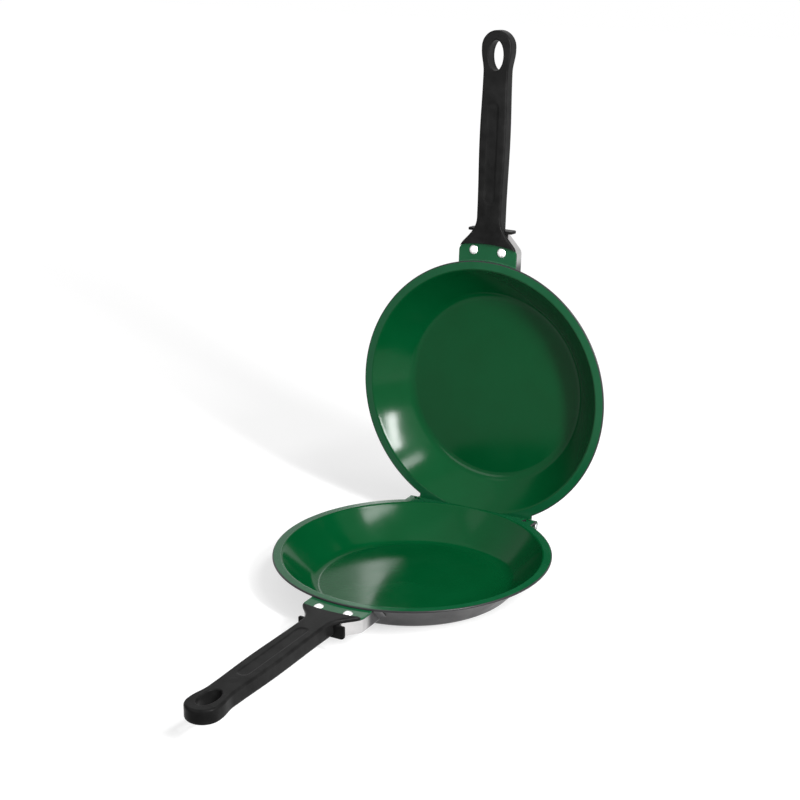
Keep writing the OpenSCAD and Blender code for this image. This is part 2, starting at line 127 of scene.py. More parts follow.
HANDLE_L = -handle_low.y / MM - TAB_R
NECK_W, GRIP_W, WAIST_W, LOOP_W = 24.4, 26.4, 24.4, 29.8
SHOULDER_AT, SHOULDER_END = -6.0, 9.0
SHOULDER_OVER, SHOULDER_T, SHOULDER_BLEND = 2.2, 3.9, 8.0
SHOULDER_TIP, SHOULDER_SPREAD = -5.0, 6.0
NECK_AT, GRIP_AT, WAIST_AT, LOOP_AT = (share * HANDLE_L for share in (0.16, 0.505, 0.806, 0.91))
NECK_DEPTH, TIP_DEPTH = 14.5, 13.0
INNER_EDGE, OUTER_EDGE = 2.2, 2.6
HANG_S = TAB_R + HANDLE_L - 22.3
HANG_A, HANG_B = 7.3, 13.5
HANG_EDGE = 1.2
RECESS_HALF, RECESS_DEPTH, RECESS_LENGTH, RECESS_EASE = 5.0, 0.6, 92, 1.6
RECESS_FROM = TAB_R + NECK_AT + 6 + RECESS_HALF
RECESS_TO = RECESS_FROM + RECESS_LENGTH - 2 * RECESS_HALF
PLUG_S = TAB_R + HANDLE_L - 53.3
PLUG_R, PLUG_H, PLUG_PROUD = 4.5, 1.6, 0.04
COLLAR_W, COLLAR_T = 44.6, 2.5
COLLAR_TOP, COLLAR_LOW = GUARD_TOP + 0.6, GUARD_DEPTH - 0.4
COLLAR_LOW_R, COLLAR_TOP_R = 3.0, 1.0
COLLAR_S = GUARD_END + 0.2
TONGUE_FROM, TONGUE_ROOM = RIVET_S - 6, 0.06
RESIN_EDGE = 0.3

KNUCKLE_R = PAN_H - HINGE_Z
KNUCKLE_IN, KNUCKLE_OUT, SLIT_W, EAR_W = 36.0, 57.0, 3.3, 6.7
EAR_IN = KNUCKLE_OUT + SLIT_W
EAR_OUT = EAR_IN + EAR_W
CURL = 280.0  # degrees
STOP_LIP = 3.0
LUG_OUT = KNUCKLE_OUT + (SLIT_W + SHEET) / 2
LUG_R = KNUCKLE_R - FIT
LUG_AXIS_Z = PAN_H + CLOSED_GAP + KNUCKLE_R
LUG_FOOT_Z = PAN_H - 0.6
SLIT_Y = HINGE_Y - KNUCKLE_R
SLIT_FAR = (LUG_OUT + FIT) / SLIT_Y * HINGE_Y
HAIR = 0.02  # small enough not to be seen


# ---- places --------------------------------------------------------------------------

def lower_place(points):
    """The lower half's points stay where they are."""
    return points


def upper_place(points):
    """Turned over: z becomes 2 * pan height + closing gap - z. Then swung back about the
    hinge axis by the open angle."""
    angle = np.radians(OPEN_ANGLE)
    y = points[:, 1] - HINGE_Y
    z = 2 * PAN_H + CLOSED_GAP - points[:, 2] - HINGE_Z
    return np.stack([
        points[:, 0],
        HINGE_Y + y * np.cos(angle) + z * np.sin(angle),
        HINGE_Z - y * np.sin(angle) + z * np.cos(angle),
    ], 1)


def handle_side(x, s, depth):
    """Points given by x, distance s from the pan's centre and depth below the rim."""
    x, s, depth = np.broadcast_arrays(x, s, depth)
    return np.stack([x, -s, PAN_H - depth], -1)


# ---- surfaces ------------------------------------------------------------------------

def grid_faces(rows, columns, close_rows=False, close_columns=False):
    """Four-sided faces between neighbouring points of a grid that is numbered row by row."""
    i = np.arange(rows if close_rows else rows - 1)
    j = np.arange(columns if close_columns else columns - 1)
    i, j = np.meshgrid(i, j, indexing="ij")
    i2, j2 = (i + 1) % rows, (j + 1) % columns
    corners = [i * columns + j, i2 * columns + j, i2 * columns + j2, i * columns + j2]
    return np.stack(corners, -1).reshape(-1, 4)


class Shape:
    """Closed surfaces gathered into one piece: points, four-sided faces and the number of
    the finish that each face has."""

    def __init__(self):
        self.points, self.faces, self.finish, self.count = [], [], [], 0

    def add(self, points, faces, finish=0):
        self.points.append(np.asarray(points, float).reshape(-1, 3))
        self.faces.append(faces + self.count)
        self.finish.append(np.broadcast_to(finish, len(faces)))
        self.count += len(self.points[-1])

    def grid(self, points, finish=0, **closing):
        rows, columns = points.shape[:2]
        self.add(points, grid_faces(rows, columns, **closing), finish)

    def plate(self, front, back, front_finish=0, back_finish=0, rounding=0.25):
        """A sheet between two grids of the same shape. Its four borders are drawn in
        towards each other by the rounding and joined by a narrow edge."""
        middle = (front + back) / 2

        def framed(face):
            wide = np.pad(face, ((1, 1), (1, 1), (0, 0)), mode="edge")
            centre = np.pad(middle, ((1, 1), (1, 1), (0, 0)), mode="edge")
            inner = np.zeros(wide.shape[:2], bool)
            inner[1:-1, 1:-1] = True
            wide[~inner] += 0.45 * (centre[~inner] - wide[~inner])
            near = face.copy()
            every = slice(None)
            for rows, columns, step in (
                (0, every, face[1] - face[0]), (-1, every, face[-2] - face[-1]),
                (every, 0, face[:, 1] - face[:, 0]), (every, -1, face[:, -2] - face[:, -1]),
            ):
                length = np.maximum(np.linalg.norm(step, axis=-1, keepdims=True), 1e-6)
                near[rows, columns] += step / length * np.minimum(rounding, 0.4 * length)
            wide[1:-1, 1:-1] = near
            return wide

        front, back = framed(front), framed(back)
        rows, columns = front.shape[:2]
        self.grid(front, front_finish)
        self.grid(back[:, ::-1], back_finish)
        for a, b in ((front[0], back[0]), (back[-1], front[-1]), (back[:, 0], front[:, 0]),
                     (front[:, -1], back[:, -1])):
            self.grid(np.stack([a, b]), front_finish)

    def piece(self, name, body, node, slot, finishes, place, sharp=35, shade=None):
        """Makes the mesh: points put in place, doubles merged, every part turned so that
        its faces point outwards. A shade gives each point a value, the share of painted shade in
        its finish."""
        still = np.concatenate(self.points)
        points = place(still) * MM
        faces = np.concatenate(self.faces)
        mesh = bpy.data.meshes.new(name)
        mesh.from_pydata(points.tolist(), [], faces.tolist())
        mesh.polygons.foreach_set("material_index", np.concatenate(self.finish).astype(np.int32))
        for finish in finishes:
            mesh.materials.append(finish)
        if shade:
            values = mesh.attributes.new("shade", "FLOAT", "POINT").data
            values.foreach_set("value", shade(still).astype(np.float32))
        shell = bmesh.new()
        shell.from_mesh(mesh)
        bmesh.ops.remove_doubles(shell, verts=shell.verts, dist=2e-6)
        bmesh.ops.dissolve_degenerate(shell, edges=shell.edges, dist=1e-7)
        bmesh.ops.recalc_face_normals(shell, faces=shell.faces)
        shell.to_mesh(mesh)
        shell.free()
        mesh.polygons.foreach_set("use_smooth", np.ones(len(mesh.polygons), bool))
        mesh.set_sharp_from_angle(angle=np.radians(sharp))
        obj = bpy.data.objects.new(name, mesh)
        bpy.context.scene.collection.objects.link(obj)
        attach(obj, body)
        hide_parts(node)
        return obj


def arc(centre, radius, start, end, count):
    """Points of an arc: centre plus radius times cosine and sine of evenly spaced angles."""
    angle = np.radians(np.linspace(start, end, count))
    return np.stack([centre[0] + radius * np.cos(angle), centre[1] + radius * np.sin(angle)], 1)


# ---- pan shells ----------------------------------------------------------------------

def lip_z(r):
    """Height of the sheet's top beside the rim: a quarter bend up to the lip's centre
    circle, then level."""
    inside = np.clip(LIP_C[0] - r, 0, LIP_TOP)
    return LIP_C[1] + np.sqrt(LIP_TOP ** 2 - inside ** 2)


def rim_outline(angle, half_width, reach, round_limit):
    """Distance of the sheet's edge from the centre in each direction: the farther of the
    rim's circle and the hinge's rectangle. round_limit stops the circle behind the axis."""
    across, back = np.abs(np.cos(angle)), np.maximum(np.sin(angle), 1e-9)
    circle = np.minimum(RIM_R, round_limit / back)
    rectangle = np.minimum(half_width / np.maximum(across, 1e-9), reach / back)
    return np.maximum(circle, np.where(np.sin(angle) > 0, rectangle, 0))


def wall_line():
    """Inside of the wall, as radius and height: it steepens evenly by a few degrees from
    the floor's fillet to the lip. Its first angle, found by halving, is the one at which
    fillet, wall and lip together span the way from the floor to the lip's centre."""
    def wall(first):
        last = first + np.radians(WALL_CURVE)
        rise = PAN_H - SHEET - INNER_FILLET * (1 - np.cos(first)) - LIP_TOP * (1 - np.cos(last))
        radius = rise / (np.cos(first) - np.cos(last))
        along_wall = radius * (np.sin(last) - np.sin(first))
        return last, radius, INNER_FILLET * np.sin(first) + along_wall + LIP_TOP * np.sin(last)

    low, high = np.radians([30, 60])
    for _ in range(40):
        first = (low + high) / 2
        last, radius, span = wall(first)
        low, high = (first, high) if span > LIP_C[0] - INNER_C[0] else (low, first)
    beyond = radius - INNER_FILLET
    centre = (INNER_C[0] - beyond * np.sin(first), INNER_C[1] + beyond * np.cos(first))
    return np.degrees(first), np.degrees(last), centre, radius


def bowl(shape, outline, corners, edge):
    """One sheet turned about z. Its section runs from the floor's centre over the fillet,
    the sloped wall and the lip to the rim's round edge, and back underneath. Between lip
    and edge the radius goes in even steps to the outline in that direction."""
    angles = np.unique(np.round(np.concatenate([
        np.radians(np.arange(0, 360, 1.0)), corners, np.pi - corners,
    ]), 9))
    out, edge = outline(angles)[:, None], edge(angles)[:, None]
    lip_from = np.minimum(LIP_C[0], out)

    def turned(section):
        r = np.broadcast_to(section[:, 0], (len(angles), len(section)))
        z = np.broadcast_to(section[:, 1], r.shape)
        return r, z

    floor = np.stack([np.linspace(0, INNER_C[0], 12)[:-1], np.full(11, SHEET)], 1)
    first, last, wall_centre, wall_radius = wall_line()
    fillet = arc(INNER_C, INNER_FILLET, -90, first - 90, 14)
    wall = arc(wall_centre, wall_radius, first - 90, last - 90, 16)[1:-1]
    lip = arc(LIP_C, LIP_TOP, 90 + last, 90, 9)
    inside_r, inside_z = turned(np.concatenate([floor, fillet, wall, lip]))
    inside_z = np.where(inside_r > out, lip_z(out), inside_z)
    inside_r = np.minimum(inside_r, out)

    share = np.linspace(0, 1, 7)[1:]
    flange_r = lip_from + share * (out - edge - lip_from)
    flange_z = lip_z(flange_r)
    turn = np.radians(np.linspace(90, -90, 11))[1:]
    top = lip_z(out - edge)
    edge_r = out - edge + edge * np.cos(turn)
    edge_z = (top + PAN_H - SHEET) / 2 + (top - PAN_H + SHEET) / 2 * np.sin(turn)

    bend = arc(LIP_C, LIP_BEND, 90, 90 + WALL_ANGLE, 6)
    under_r = (out - edge) + share * (bend[0, 0] - out + edge)
    under_z = np.full_like(under_r, PAN_H - SHEET)
    foot = arc(FLOOR_C, FLOOR_FILLET + SHEET, WALL_ANGLE - 90, -90, 14)
    slope = bend[-1] + np.linspace(0, 1, 10)[1:-1, None] * (foot[0] - bend[-1])
    bottom = np.stack([np.linspace(FLOOR_C[0], 0, 12)[1:], np.zeros(11)], 1)
    outside_r, outside_z = turned(np.concatenate([bend[1:], slope, foot, bottom]))

    r = np.concatenate([inside_r, flange_r, edge_r, under_r, outside_r], 1)
    z = np.concatenate([inside_z, flange_z, edge_z, under_z, outside_z], 1)
    points = np.stack([r * np.cos(angles)[:, None], r * np.sin(angles)[:, None], z], -1)
    on_rim = inside_r.shape[1] - 2
    coated = inside_r.shape[1] + flange_r.shape[1] - 1
    column = np.arange(r.shape[1] - 1)
    # finishes: 0 inside, 2 on the flat rim (its paler base is painted sheen), 1 on the edge,
    # underneath and outside
    finish = np.select([column < on_rim, column < coated], [0, 2], 1)
    shape.grid(points, np.tile(finish, len(angles)), close_rows=True)


def tab(shape):
    """Handle tab: across its width the sheet runs from under the rim to the tab's round
    edge with its two round corners, and sinks by the tab's step on the way."""
    half = TAB_W / 2
    turn = np.linspace(-1, 1, 61)
    x = half * np.sin(turn * np.pi / 2)
    corner_x = half - TAB_CORNER
    corner_s = np.sqrt((TAB_R - TAB_CORNER) ** 2 - corner_x ** 2)
    end = np.where(
        np.abs(x) > corner_x * TAB_R / (TAB_R - TAB_CORNER),
        corner_s + np.sqrt(np.maximum(TAB_CORNER ** 2 - (np.abs(x) - corner_x) ** 2, 0)),
        np.sqrt(TAB_R ** 2 - x ** 2),
    )
    start = np.sqrt(TAB_ROOT ** 2 - x ** 2)
    t = np.concatenate([np.linspace(0, 0.5, 22), np.linspace(0.5, 1, 14)[1:]])[:, None]
    s = start + t * (end - start)
    slope = np.clip((np.hypot(x, s) - STEP_AT) / STEP_LENGTH, 0, 1)
    depth = STEP_ROOM + (TAB_STEP - STEP_ROOM) * slope * slope * (3 - 2 * slope)
    # the tab's top takes the rim coating with its painted sheen, its underside the dark paint
    shape.plate(handle_side(x, s, depth), handle_side(x, s, depth + SHEET), 2, 1)


def curl(shape, x_from, x_to, outer, inner, columns):
    """A strip of the sheet bent round the hinge axis: the outer and the inner line of its
    section, in y and z from the axis, carried along x. It starts flush with the lip, and
    its two ends are drawn in a little."""
    edge, end_share = 0.35, 0.3
    x = np.concatenate([[x_from], np.linspace(x_from + edge, x_to - edge, columns), [x_to]])
    draw_in = np.zeros(len(x))
    draw_in[[0, -1]] = end_share
    middle = (outer + inner) / 2

    def carried(line):
        section = line[None] + draw_in[:, None, None] * (middle - line)[None]
        y = HINGE_Y + section[..., 0]
        z = HINGE_Z + section[..., 1]
        x_grid = np.broadcast_to(x[:, None], y.shape)
        z = np.where(section[..., 1] > 0, np.minimum(z, lip_z(np.hypot(x_grid, y))), z)
        return np.stack([x_grid, y, z], -1)

    shape.plate(carried(outer), carried(inner), 0, 0, rounding=0.0)


def curl_lines(turn, straight):
    """Outer and inner line of a curl that turns by an angle from straight up, and then
    goes straight on."""
    angles = np.radians(90 - np.linspace(0, turn, int(turn / 6) + 2))
    lines = []
    for radius in (KNUCKLE_R, KNUCKLE_R - SHEET):
        line = radius * np.stack([np.cos(angles), np.sin(angles)], 1)
        if straight:
            onward = np.array([np.sin(angles[-1]), -np.cos(angles[-1])])
            line = np.concatenate([line, line[-1] + np.linspace(0, straight, 5)[1:, None] * onward])
        lines.append(line)
    return lines


def lower_shell():
    """Lower pan: bowl and tab, its edge straight along the hinge axis, with a slit for
    each lug, and the stop lip, knuckles and ears curled from it."""
    shape = Shape()
    # where points are needed: at the edge's corners, and where it leaves the rim's circle
    corner_x = np.array([EAR_OUT, SLIT_FAR, SLIT_FAR + HAIR, KNUCKLE_OUT, KNUCKLE_OUT + HAIR,
                         KNUCKLE_IN, KNUCKLE_IN + 0.1, 46.0])
    corners = np.arctan2(HINGE_Y, corner_x)
    corners = np.append(corners, np.arccos(EAR_OUT / RIM_R))

    def outline(angle):
        back = np.maximum(np.sin(angle), 1e-9)
        x = np.abs(np.cos(angle)) / back * HINGE_Y
        in_slit = (x > KNUCKLE_OUT + HAIR / 2) & (x < SLIT_FAR + HAIR / 2)
        return np.where(in_slit, SLIT_Y / back, rim_outline(angle, EAR_OUT, HINGE_Y, HINGE_Y))

    def edge(angle):
        behind = outline(angle) * np.sin(angle) > HINGE_Y - 0.05
        return np.where(behind, HAIR, EDGE)

    bowl(shape, outline, corners, edge)
    tab(shape)
    outer, inner = curl_lines(90, STOP_LIP)
    curl(shape, -KNUCKLE_IN, KNUCKLE_IN, outer, inner, 60)
    outer, inner = curl_lines(CURL, 0)
    for side in (-1, 1):
        for ends in ((KNUCKLE_IN, KNUCKLE_OUT), (EAR_IN, EAR_OUT)):
            x_from, x_to = sorted(side * x for x in ends)
            curl(shape, x_from, x_to, outer, inner, 12)
    return shape


def lug(shape, side):
    """Lug: a sheet at one end of the hinge's rectangle, from the rim up round the pin,
    its outline straight sides and a half circle about the pin."""
    t = np.linspace(0, 1, 9)[:, None]
    turn = np.radians(np.linspace(0, 180, 25))
    top = np.stack([LUG_R * np.cos(turn), LUG_AXIS_Z + LUG_R * np.sin(turn)], 1)
    foot = np.stack([LUG_R * np.cos(turn), np.full(25, LUG_FOOT_Z)], 1)
    outline = foot[None] + t[..., None] * (top - foot)[None]
    y = HINGE_Y + outline[..., 0]

    def at(x):
        return np.stack([np.full_like(y, x), y, outline[..., 1]], -1)

    shape.plate(at(side * LUG_OUT), at(side * (LUG_OUT - SHEET)), 0, 0)


def upper_shell():
    """Upper pan: bowl and tab, its edge square behind the hinge axis, with a lug at each
    end of the square part."""
    shape = Shape()
    reach = HINGE_Y + LUG_R
    # the square part's corners, and both sides of where it leaves the rim's circle
    corner_x = np.array([LUG_OUT, 30.0, 34.0])
    corners = np.append(np.arctan2(reach, corner_x), np.arccos(LUG_OUT / RIM_R))

    def outline(angle):
        return rim_outline(angle, LUG_OUT, reach, RIM_R * 10)

    def edge(angle):
        return np.full(len(angle), EDGE)

    bowl(shape, outline, corners, edge)
    tab(shape)
    for side in (-1, 1):
        lug(shape, side)
    return shape


# ---- guard ---------------------------------------------------------------------------

def wall_out(z, off):
    """Radius of the wall's outer side at a height, moved out by a distance."""
    slope = np.radians(WALL_ANGLE)
    return FLOOR_R + (z - SHEET) / np.tan(slope) + (SHEET + off) / np.sin(slope)


def guard_half(s, inset):
    """Half the guard's width at distance s, moved in by an inset: a straight side, a
    bend, and a straight slope in to the handle."""
    radius = GUARD_BEND - inset
    past = s - GUARD_BEND_S
    bend = np.sqrt(np.maximum(radius ** 2 - np.minimum(past, radius) ** 2, 0))
    slope = radius / np.cos(GUARD_TURN) - past * np.tan(GUARD_TURN)
    side = np.where(past <= 0, radius, np.where(past < radius * np.sin(GUARD_TURN), bend, slope))
    return GUARD_W / 2 - GUARD_BEND + side


def flare_centre(depth):
    """Where a side leaves its straight run for the flare: distance s of the centre of the
    arc that touches both the side and the pan's wall."""
    out = wall_out(PAN_H - depth, FIT) + GUARD_T + FLARE_R
    return np.sqrt(out ** 2 - (GUARD_W / 2 + FLARE_R) ** 2)


def guard_start(x, depth):
    """Where the guard's straight run begins: at the flare, or at the round corner below."""
    wall = np.sqrt(wall_out(PAN_H - depth, FIT) ** 2 - x ** 2)
    chin_s = wall_out(PAN_H - GUARD_DEPTH, FIT) + 0.8 * GUARD_CHIN
    chin_drop = np.maximum(depth - GUARD_DEPTH + GUARD_CHIN, 0)
    chin = chin_s - np.sqrt(np.maximum(GUARD_CHIN ** 2 - chin_drop ** 2, 0))
    return np.maximum(np.maximum(wall, chin), flare_centre(depth))


def flare_reach(depth):
    """How far a side goes on past its straight run: 1 for the whole arc, 2 for the arc and
    the whole lip. A quarter ellipse rounds it off above, and another one below."""
    low = GUARD_DEPTH - GUARD_CORNER
    above = np.clip((GUARD_TOP + FLARE_BROW - depth) / FLARE_BROW, 0, 1)
    below = np.clip((depth - low + FLARE_JAW) / FLARE_JAW, 0, 1)
    reach = 2 - FLARE_BROW_CUT * (1 - np.sqrt(1 - above ** 2)) - 2 * (1 - np.sqrt(1 - below ** 2))
    return np.where(depth < low, reach, 0)


def flare(depth, thick):
    """Each side bends outwards on an arc and goes on as a lip along the pan's wall: rows
    from the free end to the straight run, one column for each depth."""
    share = flare_reach(depth) * np.linspace(1, 0, 19)[:, None]
    x_c, s_c = GUARD_W / 2 + FLARE_R, flare_centre(depth)
    turn = np.arctan2(s_c, x_c)
    angle = np.pi + turn * np.minimum(share, 1)
    radius = FLARE_R + thick
    x, s = x_c + radius * np.cos(angle), s_c + radius * np.sin(angle)
    along = np.maximum(share - 1, 0) * FLARE_LIP / s_c
    return x * np.cos(along) + s * np.sin(along), s * np.cos(along) - x * np.sin(along)


def flare_painted_reflection(points):
    """Share of the painted dark reflection of the pan: 0 along the guard's sides, easing to
    1 on its flares beside the pan's wall.
    """
    t = np.clip((-points[:, 1] - SHADE_FROM) / SHADE_LENGTH, 0, 1)
    return (1 - t * t * (3 - 2 * t)) * (np.abs(points[:, 0]) > SHADE_BESIDE)


def guard():
    """One sheet. Its cross-section, two sides and a web with round corners, is carried
    from the pan's wall straight along the handle, round a bend and down a slope; the
    sides go on into the flares."""
    shape = Shape()
    side_n, corner_n, web_n = 20, 6, 11
    corner = np.radians(np.linspace(0, 90, corner_n + 1))[1:]
    side_depth = GUARD_TOP + (GUARD_DEPTH - GUARD_CORNER - GUARD_TOP) * (
        1 - np.cos(np.linspace(0, np.pi, side_n))) / 2
    share = np.concatenate([np.ones(side_n + corner_n), np.linspace(1, 0, web_n + 1)[1:]])
    straight, slope = np.linspace(0, 1, 20)[:, None], np.linspace(0, 1, 9)[1:, None]
    turn = np.linspace(0, GUARD_TURN, 12)[1:, None]

    def face(thick):
        keep = GUARD_CORNER - thick
        inset = np.concatenate([
            np.full(side_n, thick), thick + keep * (1 - np.cos(corner)),
            np.full(web_n, GUARD_CORNER)])
        depth = np.concatenate([
            side_depth, GUARD_DEPTH - GUARD_CORNER + keep * np.sin(corner),
            np.full(web_n, GUARD_DEPTH - thick)])
        start = guard_start((GUARD_W / 2 - inset) * share, depth)
        radius = GUARD_BEND - inset
        bend_end = GUARD_BEND_S + radius * np.sin(GUARD_TURN)
        s = np.concatenate([
            start + straight * (GUARD_BEND_S - start), GUARD_BEND_S + radius * np.sin(turn),
            bend_end + slope * (GUARD_END - bend_end)])
        x = guard_half(s, inset) * share
        flare_x, flare_s = flare(side_depth, thick)
        rows = len(flare_x) - 1
        ahead_x, ahead_s = np.tile(x[0], (rows, 1)), np.tile(s[0], (rows, 1))
        ahead_x[:, :side_n], ahead_s[:, :side_n] = flare_x[:-1], flare_s[:-1]
        x, s = np.concatenate([ahead_x, x]), np.concatenate([ahead_s, s])
        depth = np.broadcast_to(depth, x.shape)
        halves = ((x, -1), (s, 1), (depth, 1))
        return handle_side(*(
            np.concatenate([half, sign * half[:, -2::-1]], 1) for half, sign in halves))

    shape.plate(face(0.0), face(GUARD_T), rounding=0.15)
    return shape


# ---- handle --------------------------------------------------------------------------

def half_width(d):
    """Half the handle's width at a distance past the tab: cosine steps from neck to grip,
    grip to waist and waist to loop."""
    def between(a, b, low, high):
        t = np.clip((d - low) / (high - low), 0, 1)
        return (a + (b - a) * (1 - np.cos(np.pi * t)) / 2) / 2

    return np.select(
        [d < GRIP_AT, d < WAIST_AT],
        [between(NECK_W, GRIP_W, NECK_AT, GRIP_AT), between(GRIP_W, WAIST_W, GRIP_AT, WAIST_AT)],
        between(WAIST_W, LOOP_W, WAIST_AT, LOOP_AT),
    )


def shoulder_half(d):
    """The same at the inner face, where a shoulder spreads over the guard to the tab: the
    larger of the two widths, softened where they come near each other. Towards its tip
    the shoulder draws back to the guard's own width."""
    t = np.clip((d - SHOULDER_TIP) / SHOULDER_SPREAD, 0, 1)
    over, plain_half = guard_half(TAB_R + d, 0) + SHOULDER_OVER * t * (2 - t), half_width(d)
    near = np.maximum(SHOULDER_BLEND - np.abs(over - plain_half), 0)
    return np.maximum(over, plain_half) + near ** 2 / SHOULDER_BLEND / 4


def tab_edge(x):
    """Distance s of the handle's end round the tab: a large circle and a round corner,
    with a hair of room all round."""
    grown = TAB_CORNER + FIT
    corner_x = TAB_W / 2 + FIT - grown
    corner_s = np.sqrt((TAB_R - TAB_CORNER) ** 2 - corner_x ** 2)
    end = np.sqrt((TAB_R + FIT) ** 2 - np.minimum(x, 2 * corner_x) ** 2)
    corner = corner_s + np.sqrt(np.maximum(grown ** 2 - (x - corner_x) ** 2, 0))
    return np.where(x > corner_x * (TAB_R + FIT) / (TAB_R - TAB_CORNER), corner, end)


def grip_depth(s):
    """Depth of the handle's outer face, which rises evenly from the neck to the tip."""
    return NECK_DEPTH + (TIP_DEPTH - NECK_DEPTH) * (s - TAB_R) / HANDLE_L


def recess_drop(x, s):
    """Depth of the recess: full inside a stadium, easing out over its soft side."""
    past = np.maximum(np.maximum(RECESS_FROM - s, s - RECESS_TO), 0)
    t = np.clip((RECESS_HALF + RECESS_EASE / 2 - np.hypot(x, past)) / RECESS_EASE, 0, 1)
    return RECESS_DEPTH * t * t * (3 - 2 * t)


def grip_side():
    """Right side of the handle in plan, as x and s, from the neck to the tip's middle:
    close steps at the recess's ends and at the hanging hole, then a quarter circle."""
    tip_s = TAB_R + HANDLE_L - LOOP_W / 2
    hole = HANG_S - (HANG_B + HANG_EDGE) * np.cos(np.radians(np.linspace(0, 180, 61)))
    s = np.unique(np.round(np.concatenate([
        np.arange(TAB_R + NECK_AT, HANG_S - HANG_B - HANG_EDGE, 1.5),
        np.arange(RECESS_FROM - 5.6, RECESS_FROM + 1, 0.35),
        np.arange(RECESS_TO - 1, RECESS_TO + 5.6, 0.35),
        hole[hole < tip_s],
    ]), 4))
    x = half_width(s - TAB_R)
    angle = np.unique(np.concatenate([
        np.radians(np.linspace(0, 90, 40)),
        np.arcsin(np.clip((hole[hole >= tip_s] - tip_s) / (LOOP_W / 2 - INNER_EDGE), 0, 1)),
    ]))
    x = np.concatenate([x, LOOP_W / 2 * np.cos(angle)])
    s = np.concatenate([s, tip_s + LOOP_W / 2 * np.sin(angle)])
    x[-1] = 0
    return x, s


def hole_half(s, grow):
    """Half the width of the hanging hole, an ellipse grown by an edge, at distance s."""
    return (HANG_A + grow) * np.sqrt(np.maximum(1 - ((s - HANG_S) / (HANG_B + grow)) ** 2, 0))


# Steps of a quarter turn; of the way to the recess's side and past it; and down the
# shoulder's lower edge, as inset and depth.
QUARTER = np.radians(np.linspace(90, 0, 9))
ACROSS = np.array([0, 0.35, 0.7, 0.9, 0.95, 1.0, 1.05, 1.1, 1.25])
LIP_BELOW = ((0, 2.5), (0, 2.9), (0, 3.3), (0.12, 3.58), (0.3, 3.76), (0.6, SHOULDER_T))


def face_shares(span):
    """Shares of the way across a face, closest together at the recess's side."""
    knee = np.clip(RECESS_HALF / np.maximum(span, 1e-6), 0.1, 0.72)[..., None]
    return np.concatenate([knee * ACROSS, 1 - (1 - 1.25 * knee) * np.array([0.6, 0.25, 0])], -1)


def grip_columns(inner, outer, s, in_inner, in_outer):
    """Points of the grip from the middle of its inner face, round an edge, down the side
    and under the shoulder, down to another edge and back along the outer face. inner and
    outer are the plan outlines; in_inner and in_outer say how one millimetre of inset
    moves x and s. An edge moves in by one less the cosine, and down by one less the sine,
    of a quarter turn."""
    columns = []

    def at(x, along, inset, move, depth):
        columns.append((x + inset * move[0], along + inset * move[1], depth))

    def face(x, along):
        start = hole_half(along, HANG_EDGE)
        return start[:, None] + (x - start)[:, None] * face_shares(x - start)

    edge_x, edge_s = inner + INNER_EDGE * in_inner[0], s + INNER_EDGE * in_inner[1]
    for x in face(edge_x, edge_s).T:
        columns.append((x, edge_s, recess_drop(x, edge_s)))
    for angle in QUARTER[1:]:
        at(inner, s, INNER_EDGE * (1 - np.cos(angle)), in_inner, INNER_EDGE * (1 - np.sin(angle)))
    over = np.clip(inner - outer, 0, 1)
    for inset, depth in LIP_BELOW:
        at(inner, s, inset * over, in_inner, depth)
    low = grip_depth(s)
    for share in (0, 0.02, 0.1, 0.35, 0.7):
        top = SHOULDER_T + 0.02
        at(outer, s, 0, in_outer, top + share * (low - OUTER_EDGE - top))
    for angle in QUARTER[::-1]:
        inset = OUTER_EDGE * (1 - np.cos(angle))
        low = grip_depth(s + inset * in_outer[1])
        at(outer, s, inset, in_outer, low - OUTER_EDGE * (1 - np.sin(angle)))
    edge_x, edge_s = outer + OUTER_EDGE * in_outer[0], s + OUTER_EDGE * in_outer[1]
    for x in face(edge_x, edge_s).T[::-1]:
        columns.append((x, edge_s, grip_depth(edge_s)))
    return tuple(
        np.stack([np.broadcast_to(column[k], s.shape) for column in columns], 1) for k in range(3))


def shoulder_rows(s):
    """Columns of the grip at distances s before the neck, where both outlines are taken
    straight across: an inset moves x by one over the cosine of the outline's slope."""
    d = s - TAB_R
    slope = (shoulder_half(d + 0.05) - shoulder_half(d - 0.05)) / 0.1
    still = np.zeros_like(s)
    inward = (-np.hypot(1, slope), still), (still - 1, still)
    return grip_columns(shoulder_half(d), half_width(d), s, *inward)


